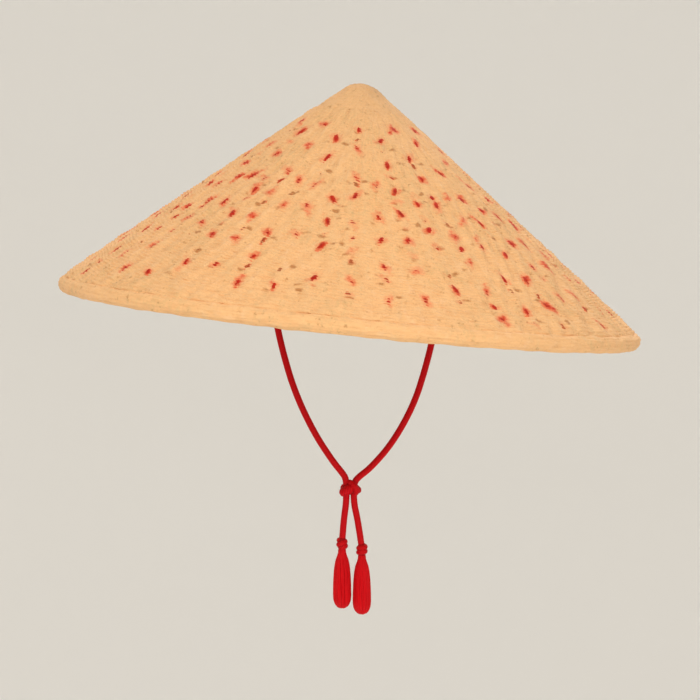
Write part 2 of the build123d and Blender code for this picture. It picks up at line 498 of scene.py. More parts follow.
# %% One fleck for each crossing
surfacing = []
for kind, strand in STRANDS.items():
    for angle in strand_angles(strand):
        rank = round((angle - 7.5) / 15) + 1 if kind == "tertiary_ribs" else round(angle / 15)
        for row in range(ROWS):
            over = (rank + row) % 2 == 0
            shown = fleck_here(over, row)
            jitter = flecks.uniform(-3.4, 3.4) * MM
            strong = flecks.uniform(0.62, 1.08) if over else flecks.uniform(0.1, 0.66)
            facing = abs(math.cos(math.radians(angle)))
            spot = {
                "kind": kind,
                "angle": math.radians(angle),
                "along": ROW_START + (row + 0.5) * ROW_PITCH + jitter,
                "length": flecks.uniform(9.5, 15.5) * MM * (0.75 + 0.25 * over),
                "width": flecks.uniform(6.2, 8.8) * MM,
                "skew": flecks.uniform(-0.4, 0.4),
                "side": flecks.uniform(-1.0, 1.0),
                "dye": strong * (0.66 + 0.34 * facing),
                "over": over,
                "blots": blots(),
            }
            if shown and spot["along"] < min(strand["end"], LAST_FLECK) - 4 * MM:
                surfacing.append(spot)
print(len(surfacing), "flecks")

# %% [markdown]
# ## The courses of straw
# Each course is five straws laid side by side and stitched to the next. An outline with five round
# straws outside and inside is spun once round the hat. Then the ring is roughened as handwork is:
# the straws wander, the surface swells between the strands, and it dips where a strand crosses it.
# The small bumps fade towards the tip, where the turns are tight.
# %% Waves round the hat
wobble = np.random.default_rng(7)
WAVES = [
    (m, wobble.uniform(0, 6.28), wobble.uniform(-60, 60)) for m in (3, 5, 8, 13, 21, 34, 55, 71)
]


def wander(angle, along, low, high):
    """A smooth uneven number from about -1 to 1 that closes on itself round the hat."""
    total = np.zeros_like(angle)
    for m, phase, tilt in WAVES[low:high]:
        total += np.sin(m * angle + phase + tilt * along / ROW_PITCH * 0.1)
    return total / math.sqrt(high - low)


# %% The outline of a course
GROOVE = 0.26 * MM
INNER_GROOVE = 0.5 * MM


def valley(share, straws, sharpness):
    """How deep the groove between round straws is, from 0 on a straw to 1 between two."""
    return 1 - abs(math.sin(math.pi * share * straws)) ** sharpness


def course_outline(start, length, straws, depth):
    """The closed outline of one course, with round straws outside and inside."""
    points = []
    for k in range(straws * 5 + 1):
        share = k / (straws * 5)
        points.append(wall(start + share * length, GROOVE * valley(share, straws, 0.8)))
    for k in range(straws * 3 + 1):
        share = 1 - k / (straws * 3)
        inside = depth - INNER_GROOVE * valley(share, straws, 0.6)
        points.append(wall(start + share * length, inside))
    return points


# %% Where the dye and the dips are
# Size of the painted shade for a small gap in the weave, put beside each fleck.
GAP_SHADE_WIDE, GAP_SHADE_LONG = 2.7 * MM, 1.9 * MM


def on_wall(obj):
    """The angle, distance up the slope, depth and radius of each point."""
    angle, radius, height = polar(obj)
    dr, dz = radius - START[0], height - START[1]
    return angle, dr * UP[0] + dz * UP[1], -(dr * OUT[0] + dz * OUT[1]), radius


def marks(angle, along, radius, middle, length):
    """The dye stain (its darkest middle partly painted shade), the painted shade of a small gap in the
    weave, and the dip that each fleck near a course leaves on it.
    """
    dye_run_and_shade, gap_shade, dip = np.zeros_like(angle), np.zeros_like(angle), np.zeros_like(angle)
    for spot in surfacing:
        if abs(spot["along"] - middle) > length:
            continue
        around = (angle - spot["angle"] + np.pi) % (2 * np.pi) - np.pi
        y = along - spot["along"]
        x = around * radius - spot["skew"] * y
        near = (x / (0.5 * spot["width"])) ** 2 + (y / (0.42 * spot["length"])) ** 2
        dip = np.maximum(dip, np.exp(-near))
        for dx, dy, wide, long, dark in spot["blots"]:
            off_x = (x / spot["width"] - dx) / (wide * 1.25)
            off_y = (y / spot["length"] - dy) / (long * 1.1)
            blot = np.exp(-(off_x**2) - off_y**2) * dark
            # The blots are dye, and the material paints shade over their darkest middles.
            dye_run_and_shade = np.maximum(dye_run_and_shade, blot * (0.1 + 0.98 * spot["dye"]))
        # Painted shade: a dark brownish mark for a small gap in the weave beside the fleck, strongest
        # where the dye is weak.
        off_x = (x - spot["side"] * 8 * MM) / GAP_SHADE_WIDE
        off_y = (y - (spot["side"] * 6 - 2) * MM) / GAP_SHADE_LONG
        gap_shade_mask = np.exp(-(off_x**2 + off_y**2))
        gap_shade = np.maximum(gap_shade, gap_shade_mask * (1.15 - spot["dye"]))
    return dye_run_and_shade, gap_shade, dip


# %% Handwork
HEM_SINK = 0.9 * MM
FULL_ROUGH_R = 110 * MM
BULGE, WEAVE, UNEVEN, ROUGH, LUMPS = 0.28, 0.26, 0.42, 0.8, 0.36


def handwork(obj, straws, start, length, thick):
    """Roughens a ring of straw and stores where it is grooved (for the painted groove shade), where it
    is stained with dye (its darkest part painted shade), and where the painted shade of small gaps
    goes.
    """
    angle, along, depth, radius = on_wall(obj)
    outside = 1 - np.clip(depth / thick, 0, 1)
    share = np.clip((along - start) / length, 0, 1)
    groove = 1 - np.abs(np.sin(np.pi * share * straws)) ** 0.7
    dye_run_and_shade, gap_shade, dip = marks(angle, along, radius, start + length / 2, length)
    across = np.sin(np.pi * share)
    weave = np.cos(angle * MAIN_STRANDS + np.pi * round((start - ROW_START) / ROW_PITCH))
    calm = np.clip(radius / FULL_ROUGH_R, 0.2, 1)
    rough = np.sin(along / (0.8 * MM) + 3 * np.sin(angle * 11)) * np.sin(angle * 83 + along / MM)
    lumps = np.sin(along / (3 * MM) + 2 * np.sin(angle * 5)) * np.sin(angle * 31 + along / (9 * MM))
    swell = BULGE * across + WEAVE * weave * across + UNEVEN * wander(angle, along, 4, 8)
    swell += calm * (ROUGH * rough + LUMPS * lumps)
    depth = depth - MM * swell * (0.4 + 0.6 * outside) + 0.5 * MM * dip * outside
    along = along + 0.5 * MM * wander(angle, along, 1, 6) + 0.16 * MM * wander(angle, along * 9, 5, 8)
    if start < ROW_START:
        depth = depth + HEM_SINK * np.exp(-(along - start) / (1.1 * MM)) * outside
    set_polar(obj, angle, *wall(along, depth))
    store(obj, "groove", groove * outside)
    store(obj, "dye_run_and_shade", dye_run_and_shade * outside)
    store(obj, "gap_shade", gap_shade)


# %% The courses of straw
HEM = 3.4 * MM
OVERLAP = 0.3 * MM
STRAWS = 5
STEP_ROUND, LEAST_STEPS = 1.45 * MM, 160
faces = 0
for row in range(ROWS):
    start = ROW_START + row * ROW_PITCH
    length = ROW_PITCH + OVERLAP
    if row == 0:
        start -= HEM
        length += HEM
    reach = wall(start, 0)[0]
    steps = int(max(LEAST_STEPS, 2 * math.pi * reach / STEP_ROUND))
    course = spun(course_outline(start, length, STRAWS, STRAW), steps)
    handwork(course, STRAWS, start, length, STRAW)
    name = f"straw_row_{row + 1:02d}"
    place(course, f"course_{row + 1:02d}", "hat", straw_skin, [name], LEAN, 75)
    faces += len(course.data.polygons)
print(ROWS, "courses,", faces, "faces")

# %% [markdown]
# ## The crown cap
# The last straws turn round the tip and are pressed into a closed dome. The outline follows the
# slope, then the tip ball, up to the axis and back down inside, so the cap is one closed shell.
# %% The crown cap


def on_ball(ball, tilt):
    """A place on a ball round the tip, by its angle from straight up."""
    return max(0.0, ball * math.sin(tilt)), TIP_Z + ball * math.cos(tilt)


def cap_outline():
    points = []
    flank = SLOPE_LENGTH - CAP_START
    reach = flank + TIP_BALL * SLOPE
    count = CAP_STRAWS * 5
    for k in range(count):
        travel = k / count * reach
        groove = GROOVE * valley(k / count, CAP_STRAWS, 0.8)
        if travel < flank:
            points.append(wall(CAP_START + travel, groove))
        else:
            points.append(on_ball(TIP_BALL - groove, SLOPE - (travel - flank) / TIP_BALL))
    points.append(on_ball(TIP_BALL, 0))
    points += [on_ball(TIP_BALL - STRAW, SLOPE * k / 12) for k in range(13)]
    points += [wall(SLOPE_LENGTH - flank * (k + 1) / 8, STRAW) for k in range(8)]
    return points


def unstained(obj, groove):
    """Straw that the dye hasn't reached: only the painted shade in its grooves shows."""
    for name, values in (("groove", groove), ("dye_run_and_shade", 0.0), ("gap_shade", 0.0)):
        store(obj, name, values)


CAP_START = 229.1 * MM
CAP_STRAWS = 11
cap = spun(cap_outline(), 200)
angle, along, depth, radius = on_wall(cap)
fade = np.clip(radius / (12 * MM), 0, 1)
points = coords(cap)
points[:, 2] += 0.35 * MM * wander(angle, along, 0, 5) * fade
points[:, 0] *= 1 + 0.012 * np.sin(3 * angle + 1)
set_coords(cap, points)
# The whole cap gets a light, even touch of the painted groove shade.
unstained(cap, 0.25)
place(cap, "crown_cap", "hat", straw_skin, ["crown_tip"], LEAN, 75)
print("cap top at", round(max(v.co.z for v in cap.data.vertices), 4))

# %% [markdown]
# ## The rim
# The edge is finished by rolling the straw round a bamboo hoop and stitching it down. The outline
# of the roll is a circle with fifteen round straws on it. The first course reaches a little way
# over the roll, and its edge shows as a line just above the rim.
# %% The rim
STRAWS_ROUND = 15
roll_outline = []
for k in range(STRAWS_ROUND * 5):
    share = k / (STRAWS_ROUND * 5)
    r = RIM_ROLL - 1.2 * GROOVE * valley(share, STRAWS_ROUND, 0.8)
    tilt = 2 * math.pi * share
    roll_outline.append((RIM_R + r * math.cos(tilt), RIM_Z + r * math.sin(tilt)))
roll = spun(roll_outline, 620)
angle, radius, height = polar(roll)
tilt = np.arctan2(height - RIM_Z, radius - RIM_R)
r = np.hypot(height - RIM_Z, radius - RIM_R)
tilt += 0.10 * wander(angle, 0.0, 2, 7)
r += 0.28 * MM * wander(angle, tilt * MM * 30, 3, 8)
set_polar(roll, angle, RIM_R + r * np.cos(tilt), RIM_Z + r * np.sin(tilt))
# The grooves between the rolled straws get the painted groove shade.
unstained(roll, 0.8 * np.clip((RIM_ROLL - r) / (0.6 * MM), 0, 1))
place(roll, "rim_roll", "hat", straw_skin, ["rim_binding", "rim_hoop"], LEVEL, 75)
print("rim roll made")

# %% [markdown]
# ## The strands of the frame
# Each strand is a flat strip of dyed leaf, five millimetres wide and slightly crowned, that runs under
# the straw from the rim upwards. At each fleck a short strip of the same leaf is tucked through the
# straw and arches over it. A grid is solidified into a strip, then laid along the slope.
# %% Strand material


def dyed_paint():
    paint = Paint("dyed_leaf", Specular_IOR_Level=0.18)
    up = paint.stored("crest")
    fibre = paint.streaks(paint.stored("across") * 9, paint.stored("strand"), up * 0.5)
    blotch = paint.noise(paint.place_at(), 420.0, 3.0, 0.6)
    rim = (paint.stored("edge") + (blotch - 0.5) * 1.1).ramp(0.22, 0.62)
    over = paint.layers(
        (188, 132, 76),
        ((196, 38, 10), paint.stored("dye").ramp(0.1, 0.45)),
        ((134, 22, 6), (fibre + blotch * 0.6).ramp(0.7, 0.95) * 0.75),
        ((232, 132, 86), rim * up.ramp(0.0, 0.4) * 0.85),
    )
    under = paint.mix((168, 72, 48), (196, 120, 78), blotch.ramp(0.4, 0.62))
    colour = paint.mix(under, over, up.ramp(0.0, 0.35))
    return paint.finished(colour, 0.55 + fibre * 0.2, fibre * 0.7 + blotch * 0.3, 0.0005, 0.6)


dyed_leaf = dyed_paint()
# %% One strip of leaf
RIB_START = 6.4 * MM
RIB_MIDDLE = 4.65 * MM
HALF_THICK = 0.8 * MM


def leaf_strip(begin, end, cells, seed, spot=None):
    """One strip of leaf along the slope at azimuth 0. With a spot it arches over the straw there."""
    grid = bpy.ops.mesh.primitive_grid_add
    strip = added(grid, x_subdivisions=cells[0], y_subdivisions=cells[1], size=1)
    modified(strip, "SOLIDIFY", thickness=1.0, offset=0)
    x, y, z = coords(strip).T
    across, share, level = x * 2, y + 0.5, z * 2
    along = begin + share * (end - begin)
    if spot:
        travel = along - spot["along"]
        gap = np.abs(travel) / (spot["length"] * 0.5)
        crest = np.clip(1.6 - gap, 0, 1)
        sink = 0.0 if spot["over"] else 0.3 * MM
        top = sink - 0.1 * MM + 1.15 * MM * gap**2 + 0.06 * MM * np.sin(along * 2900 + across * 5)
        edge = gap**2 + across**2
        shift = spot["skew"] * travel * np.clip(2 - gap, 0, 1)
        width = spot["width"] * (0.42 + 0.06 * np.sin(gap * 7 + seed))
        dye = spot["dye"]
    else:
        top = RIB_MIDDLE - HALF_THICK + 0.2 * MM * np.sin(along * 480 + seed)
        crest, edge, shift, dye = 0.0, 1.0, 0.0, 0.5
        width = 2.5 * MM
    crown = np.clip(np.sqrt(np.clip(1 - 0.85 * across**2, 0, 1)), 0.25, 1)
    depth = top + HALF_THICK * (1 - level * crown) + 0.75 * MM * across**2 * crest
    aside = across * width * (0.9 + 0.1 * np.sin(along * 410 + seed * 2)) + shift
    radius, height = wall(along, depth)
    set_coords(strip, np.stack([radius, aside, height], axis=1))
    kept = {"dye": dye, "crest": crest, "across": across, "edge": edge}
    for name, values in {**kept, "strand": along * 260 + seed * 7}.items():
        store(strip, name, values)
    outward(strip)
    return strip


# %% The strands
for kind, strand in STRANDS.items():
    strips = []
    cells = (6, int((strand["end"] - RIB_START) / (2.5 * MM)))
    for number, angle in enumerate(strand_angles(strand)):
        strip = leaf_strip(RIB_START, strand["end"], cells, number * 1.7)
        strip.data.transform(turn(angle))
        strips.append(strip)
    for spot in [s for s in surfacing if s["kind"] == kind]:
        reach = 0.8 * spot["length"]
        begin, end = spot["along"] - reach, spot["along"] + reach
        strip = leaf_strip(begin, end, (4, 11), spot["side"] * 5, spot)
        strip.data.transform(Matrix.Rotation(spot["angle"], 4, "Z"))
        strips.append(strip)
    strands = joined(strips)
    name = kind.replace("ribs", "strands")
    place(strands, name, "hat", dyed_leaf, [kind], LEAN, 50)
    print(name, len(strands.data.polygons), "faces")

# %% [markdown]
# ## The chin cord
# The cord is a soft twisted cord, five millimetres thick. Each side leaves its eyelet, hangs in
# a curve to the sliding knot, and goes on to its own knot and tassel. The route is a smooth curve
# through chosen points, and the cord's surface is swept along it with eight twisted strands.
# %% Cord material
CORD_STRANDS = 8


def cord_paint():
    paint = Paint("cord_red", Sheen_Weight=0.05, Sheen_Roughness=0.35, Specular_IOR_Level=0.12)
    u, v, _ = paint.split(paint.flat_map())
    twist = (u * CORD_STRANDS + v * 700).math("FRACT")
    thread = paint.streaks(u * 60, v * 900, 0.0)
    between = (twist - 0.5).size() * 2
    colour = paint.layers(
        (198, 1, 12),
        # Painted shade: darker red in the grooves between the twisted strands.
        ((112, 1, 5), between.ramp(0.55, 1.0) * 0.6),
        ((220, 20, 30), thread.ramp(0.55, 0.8) * 0.3),
    )
    return paint.finished(colour, 0.55, thread + between * -0.35, 0.00025, 0.6)


cord_red = cord_paint()


# %% Curves and sweeps
def smooth_line(points):
    """The points of a smooth curve drawn near a few chosen places."""
    data = bpy.data.curves.new("route", "CURVE")
    data.dimensions = "3D"
    data.resolution_u = 24
    spline = data.splines.new("NURBS")
    spline.points.add(len(points) - 1)
    for point, spot in zip(spline.points, points):
        point.co = (*[c * MM for c in spot], 1)
    spline.order_u = 3
    spline.use_endpoint_u = True
    obj = bpy.data.objects.new("route", data)
    bpy.context.collection.objects.link(obj)
    bpy.context.view_layer.update()
    mesh = bpy.data.meshes.new_from_object(obj)
    line = np.array([v.co[:] for v in mesh.vertices])
    bpy.data.meshes.remove(mesh)
    bpy.data.objects.remove(obj)
    bpy.data.curves.remove(data)
    return line


def travelled(line):
    """How far along a line each of its points is."""
    gaps = np.linalg.norm(np.diff(line, axis=0), axis=1)
    return np.concatenate([[0], np.cumsum(gaps)])


def evenly(line, step):
    """The same line with points a fixed distance apart."""
    travel = travelled(line)
    count = max(3, int(round(travel[-1] / step)))
    marks_at = np.linspace(0, travel[-1], count + 1)
    return np.stack([np.interp(marks_at, travel, line[:, k]) for k in range(3)], axis=1)


def sides_of(line):
    """Two directions across the line at every point, without twist."""
    ahead = np.gradient(line, axis=0)
    ahead /= np.linalg.norm(ahead, axis=1)[:, None]
    side = np.cross(ahead[0], (0.3, 1, 0.2))
    sides = [side / np.linalg.norm(side)]
    for k in range(1, len(line)):
        side = sides[-1] - ahead[k] * np.dot(sides[-1], ahead[k])
        sides.append(side / np.linalg.norm(side))
    sides = np.array(sides)
    return sides, np.cross(ahead, sides)


# %% The faces and the map of a tube
def tube_faces(count, around):
    """Faces of a tube of that many rings, closed by a point at each end."""
    faces = []
    first, last = count * around, count * around + 1
    top = (count - 1) * around
    for low in range(0, top, around):
        for j in range(around):
            n = (j + 1) % around
            faces.append((low + j, low + n, low + around + n, low + around + j))
    for j in range(around):
        n = (j + 1) % around
        faces.append((first, n, j))
        faces.append((last, top + j, top + n))
    return faces


def map_tube(mesh, travel, around):
    """U runs round the tube and V along it in metres, so the twist has the same pitch anywhere."""
    places = [*np.repeat(travel, around), 0, travel[-1]]
    flat = []
    for polygon in mesh.polygons:
        ring_numbers = [v % around for v in polygon.vertices]
        for v, j in zip(polygon.vertices, ring_numbers):
            wraps = j == 0 and max(ring_numbers) == around - 1
            flat.extend((1.0 if wraps else j / around, places[v]))
    mesh.uv_layers.new(name="along").data.foreach_set("uv", flat)


# %% The sweep
def swept(line, radius, around, lobes=0, pitch=0.012, relief=0.1, ends=0):
    """A closed tube along a line. Lobes twist round it, and it rounds off over the last rings."""
    count = len(line)
    radii = np.full(count, float(radius))
    for k in range(ends):
        share = math.sqrt(1 - (1 - (k + 0.3) / ends) ** 2)
        radii[k] *= share
        radii[-1 - k] *= share
    travel = travelled(line)
    turns = np.linspace(0, 2 * np.pi, around, endpoint=False)
    verts = []
    for size, at, middle, side, other in zip(radii, travel, line, *sides_of(line)):
        if lobes:
            bead = np.abs(np.sin(0.5 * (lobes * turns + 2 * np.pi * lobes * at / pitch)))
            size = size * (1 - relief * (1 - bead**0.8))
        ring = np.outer(np.cos(turns) * size, side) + np.outer(np.sin(turns) * size, other)
        verts.append(middle + ring)
    verts = np.concatenate([*verts, line[:1], line[-1:]])
    mesh = bpy.data.meshes.new("tube")
    mesh.from_pydata(verts.tolist(), [], tube_faces(count, around))
    map_tube(mesh, travel, around)
    mesh.update()
    obj = bpy.data.objects.new("tube", mesh)
    bpy.context.collection.objects.link(obj)
    outward(obj)
    return obj


# %% The cord's two sides
ROUTES = {
    "left": [
        (-76, -14), (-70.5, -14.2), (-67, -17.2), (-65.5, -23.5), (-64, -34), (-60.5, -54),
        (-54.4, -76.4), (-46.5, -101), (-34.5, -130.5), (-17.5, -159), (-0.5, -180), (7, -187.2),
        (10.6, -192), (12.2, -208.6), (11.6, -222), (12, -235.9),
    ],
    "right": [
        (76, -14), (70.6, -14.2), (67.6, -17.6), (66.8, -24), (66.8, -35), (66.2, -54),
        (64, -77), (60.7, -102), (54.8, -131), (42, -161), (27.5, -181.5), (19.6, -188.8),
        (16.2, -193.8), (17.8, -209), (22, -221), (26.5, -239),
    ],
}
CORD = 5.0 * MM
HANG = Vector((0.1021, 0, -0.99477))
KNOT = Vector((13.9 * MM, 0, -198.5 * MM))
TWIST = {"pitch": 0.011, "relief": 0.09}
cord_pieces = {}
for name, points in ROUTES.items():
    line = evenly(smooth_line([(x, 0, z) for x, z in points]), 0.8 * MM)
    cut = int(np.argmin(np.abs(line[:, 2] - KNOT.z)))
    for part, piece_line in (("leg", line[: cut + 1]), ("tail", line[cut:])):
        tube = swept(piece_line, CORD / 2, 24, CORD_STRANDS, **TWIST)
        place(tube, f"{name}_cord_{part}", None, cord_red, [f"{name}_cord"], angle=80)
        cord_pieces[name, part] = (tube, piece_line)
        print(name, part, round(travelled(piece_line)[-1], 4), "m")

# %% [markdown]
# ## Knots
# A stopper knot keeps each side from slipping back through its eyelet, and an end knot holds each
# tassel. Each is the cord wound twice round itself and drawn tight, which makes a small barrel.
# The coils are swept along a helix whose ends tuck in.
# %% Knots


def coil_line(turns, radius, rise):
    """A helix round the vertical axis, widest at its middle like a barrel."""
    points = []
    count = int(turns * 36)
    for k in range(count + 1):
        share = k / count
        tilt = 2 * math.pi * turns * share
        reach = radius * math.sqrt(1 - (1.72 * (share - 0.5)) ** 2)
        points.append((reach * math.cos(tilt), reach * math.sin(tilt), rise * (share - 0.5)))
    return np.array(points)


def rounded_core(x, y, z, segments=20, rings=12):
    core = added(
        bpy.ops.mesh.primitive_uv_sphere_add, segments=segments, ring_count=rings, radius=1
    )
    core.data.transform(stretch(x, y, z))
    return core


def knot_shape(size, tall):
    """A barrel knot of that radius and half height: turns of cord over a rounded core."""
    line = coil_line(2.15, size * 0.54, tall * 1.12)
    coil = swept(line, size * 0.47, 18, lobes=5, pitch=0.009, relief=0.08, ends=6)
    coil.data.transform(turn(9, "X"))
    return joined([coil, rounded_core(size * 0.84, size * 0.84, tall * 0.95)])


def along_line(direction):
    """Turns the vertical axis to a direction."""
    return Vector((0, 0, 1)).rotation_difference(direction).to_matrix().to_4x4()


# %% Stopper and end knots
STOPPER_REACH = 3.59 * MM
END_KNOTS = {"left": Vector((12.10, 0, -239.25)) * MM, "right": Vector((27.31, 0, -242.25)) * MM}
knots = {}
for name, side in (("left", -1), ("right", 1)):
    first, second = [Vector((x, 0, z)) * MM for x, z in ROUTES[name][:2]]
    run = (first - second).normalized()
    stopper = knot_shape(4.7 * MM, 4.5 * MM)
    stopper.data.transform(Matrix.Translation(first + run * STOPPER_REACH) @ along_line(run))
    place(stopper, f"{name}_stopper", "chin_cord", cord_red, [f"{name}_stopper_knot"])
    end = knot_shape(4.5 * MM, 6.1 * MM)
    low = END_KNOTS[name] + HANG * MM
    end.data.transform(Matrix.Translation(low) @ along_line(HANG) @ turn(70 * side))
    place(end, f"{name}_end", "chin_cord", cord_red, [f"{name}_end_knot"])
    knots[name] = (stopper, end)
print("stopper and end knots made")

# %% [markdown]
# ## The sliding knot
# The sliding knot is a length of the same cord tied round both sides. From the front it is a large
# turn on the left and a smaller one on the right, with one cord crossing over between them.
# It grips the cords by friction, so it stays where it is pushed.
# %% The sliding knot


def loop_line(width, depth, centre, tilt, turns, rise):
    """A flattened turn of cord, seen from above, tilted about the front-to-back axis."""
    points = []
    count = int(72 * turns)
    for k in range(count + 1):
        share = k / count
        angle = 2 * math.pi * turns * share + math.pi / 2
        points.append((width * math.cos(angle), depth * math.sin(angle), rise * (share - 0.5)))
    turned = turn(tilt, "Y").to_3x3()
    return np.array([(turned @ Vector(p)) + Vector(centre) for p in points]) * MM


big = loop_line(3.2, 2.3, (-2.2, -0.9, -0.5), -22, 1.2, 3.2)
small = loop_line(2.4, 1.9, (4.1, 0.3, -0.2), 30, 1.15, 2.0)
crossing = smooth_line([
    (-1.4, 0.8, 5.6), (0.4, -2.4, 5.4), (3.0, -4.2, 3.6), (5.0, -4.4, 0.6), (5.2, -3.2, -2.6),
    (4.0, -0.4, -4.4),
])
parts = [
    swept(big, 3.95 * MM, 22, CORD_STRANDS, **TWIST, ends=6),
    swept(small, 2.9 * MM, 20, CORD_STRANDS, **TWIST, ends=5),
    swept(evenly(crossing, 0.7 * MM), 2.3 * MM, 20, CORD_STRANDS, **TWIST, ends=4),
    rounded_core(6.8 * MM, 4.6 * MM, 5.0 * MM, 28, 16),
]
slider = joined(parts)
slider.data.transform(Matrix.Translation(KNOT) @ along_line(-HANG) @ Matrix.Scale(0.93, 4))
place(slider, "sliding_knot", "slide_knot", cord_red, ["slide_knot"], angle=80)
print("sliding knot:", len(slider.data.polygons), "faces")

# %% [markdown]
# ## The tassels
# Each tassel is a bundle of silky red thread, bound at its neck and trimmed to a round end.
# A solid core keeps light from showing through, and a hundred and forty threads lie over it in
# two layers, each a thin tube that follows the bottle shape with a small waver of its own.
# %% Thread material


def thread_paint():
    paint = Paint("red_silk", Sheen_Weight=0.02, Sheen_Roughness=0.3, Specular_IOR_Level=0.14)
    x, y, z = paint.split(paint.place_at())
    strand = paint.streaks(x * 1500, y * 1500, z * 60, 3.0, 0.6)
    shade = paint.streaks(x * 420, y * 420, z * 18)
    colour = paint.layers(
        (206, 0, 12),
        ((146, 0, 6), strand.ramp(0.5, 0.8) * 0.45),
        ((222, 4, 18), shade.ramp(0.5, 0.76) * 0.35),
    )
    return paint.finished(colour, 0.36 + strand * 0.22, strand, 0.0003, 0.5)


silk = thread_paint()
# %% The shape of a tassel
NECK = [(4.2, 2.3), (5.2, 2.9), (6.4, 3.1), (7.6, 3.1), (8.4, 2.9)]
SKIRT = [
    (6.4, 2.6), (8.4, 3.1), (10.5, 3.8), (13.5, 4.9), (18, 5.8), (25, 6.4), (33, 6.8), (40, 6.9),
    (44, 6.5), (47, 5.3), (48.9, 3.6), (49.8, 1.6),
]
SKIRT_TOP = SKIRT[0][0]


def bottle(at, profile):
    """The radius of a turned shape at a distance down its axis."""
    return float(np.interp(at, [p[0] for p in profile], [p[1] for p in profile]))


def core_shape(profile, top, inset, least, bottom, steps):
    """The solid inside a turned shape, a little smaller than its outline."""
    outline = [(0, -top * MM)]
    outline += [(max(least, r - inset) * MM, -d * MM) for d, r in profile]
    return spun([*outline, (0, -bottom * MM)], steps)


def round_place(radius, angle, down):
    return radius * math.cos(angle) * MM, radius * math.sin(angle) * MM, -down * MM


# %% The threads
threads = random.Random(12)
THREAD_LAYERS = (
    {"count": 84, "inset": 0.34, "ends": (47.5, 49.6)},
    {"count": 56, "inset": 0.52, "ends": (48.1, 49.7)},
)


def thread_line(tilt, inset, ends):
    end = threads.uniform(*ends)
    lean = threads.uniform(-0.09, 0.09)
    sway = threads.uniform(0.02, 0.05)
    phase = threads.uniform(0, 6.28)
    line = []
    for j in range(17):
        share = j / 16
        down = SKIRT_TOP + (end - SKIRT_TOP) * (share + 0.1 * math.sin(math.pi * share))
        radius = bottle(down, SKIRT) - inset + 0.1 * math.sin(phase + 5 * share)
        angle = tilt + lean * share + sway * math.sin(phase + 4.5 * share)
        line.append(round_place(radius, angle, down))
    return np.array(line)


def tassel_skirt():
    pieces = [core_shape(SKIRT, SKIRT_TOP, 0.75, 0.2, SKIRT[-1][0] - 0.4, 40)]
    for layer, kind in enumerate(THREAD_LAYERS):
        for k in range(kind["count"]):
            tilt = 2 * math.pi * (k + 0.5 * layer) / kind["count"] + threads.uniform(-0.05, 0.05)
            line = thread_line(tilt, kind["inset"], kind["ends"])
            pieces.append(swept(line, threads.uniform(0.3, 0.4) * MM, 5))
    return joined(pieces)


def tassel_neck():
    wraps = 5
    top, bottom = NECK[0][0] + 0.2, NECK[-1][0] - 0.2
    line = []
    for k in range(wraps * 26 + 1):
        share = k / (wraps * 26)
        down = top + (bottom - top) * share
        line.append(round_place(bottle(down, NECK) - 0.35, 2 * math.pi * wraps * share, down))
    core = core_shape(NECK, 3.6, 0.45, 0.1, NECK[-1][0], 24)
    return joined([core, swept(np.array(line), 0.38 * MM, 8, ends=2)])


# %% The two tassels
models = {"threads": ("skirt", tassel_skirt()), "neck": ("neck", tassel_neck())}
tassels = {}
for name, spin_by in (("left", 0), ("right", 131)):
    matrix = Matrix.Translation(END_KNOTS[name]) @ along_line(-HANG) @ turn(spin_by)
    made = []
    for part, (node, model) in models.items():
        piece = copied(model, matrix)
        nodes = [f"{name}_tassel_{node}"]
        place(piece, f"{name}_{part}", f"{name}_tassel", silk, nodes, angle=80)
        made.append(piece)
    tassels[name] = (made[1], made[0])
for _, model in models.values():
    drop(model)
print("tassel threads:", len(tassels["left"][1].data.polygons), "faces each")

# %% [markdown]
# ## The cord pieces
# The two legs run from the eyelets to the sliding knot, and the two tails from the knot to the end
# knots. As the knot is pushed up, the legs shorten and the tails lengthen. Here each piece's
# placement is only baked into its mesh.
# %% The cord pieces
for name in ROUTES:
    leg, tail = cord_pieces[name, "leg"], cord_pieces[name, "tail"]
    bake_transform(leg[0])
    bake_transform(tail[0])
    on_leg = [knots[name][0]] + ([slider] if name == "left" else [])
    on_tail = [knots[name][1], *tassels[name]]
    for (piece, line), others in ((leg, on_leg), (tail, on_tail)):
        line[::4].tolist() + [line[-1].tolist()]

# %% [markdown]
# ## The bamboo hoops
# Four hoops of split bamboo hold the cone round. A hoop starts as a torus. The joints of the bamboo
# stand a little proud of it every hand's width. On the real hat the ends are scarfed and tied; each
# torus here is closed.
# Cane lashings tie each hoop to every main strand.
# %% Bamboo material


def bamboo_paint():
    paint = Paint("bamboo", Coat_Weight=0.15, Coat_Roughness=0.35)
    ux, uy, z = round_the_hat(paint)
    fibre = paint.streaks(ux * 9, uy * 9, z * 1400, 3.0)
    blotch = paint.noise(paint.place_at(), 60.0, 3.0)
    colour = paint.layers(
        (214, 176, 112),
        ((176, 132, 74), fibre.ramp(0.4, 0.7) * 0.7),
        ((128, 88, 46), paint.stored("joint") * 0.7),
        ((190, 160, 92), blotch.ramp(0.5, 0.7) * 0.4),
    )
    return paint.finished(colour, 0.38 + fibre * 0.2, fibre, 0.0004, 0.5)


def cane_paint(name, base, deep):
    paint = Paint(name, Coat_Weight=0.1, Coat_Roughness=0.4)
    x, y, z = paint.split(paint.place_at())
    fibre = paint.streaks(x * 500, y * 500, z * 500, 3.0)
    colour = paint.mix(base, deep, fibre.ramp(0.42, 0.7) * 0.7)
    return paint.finished(colour, 0.5, fibre, 0.0003, 0.5)


bamboo = bamboo_paint()
cane = cane_paint("cane", (222, 184, 126), (168, 122, 70))
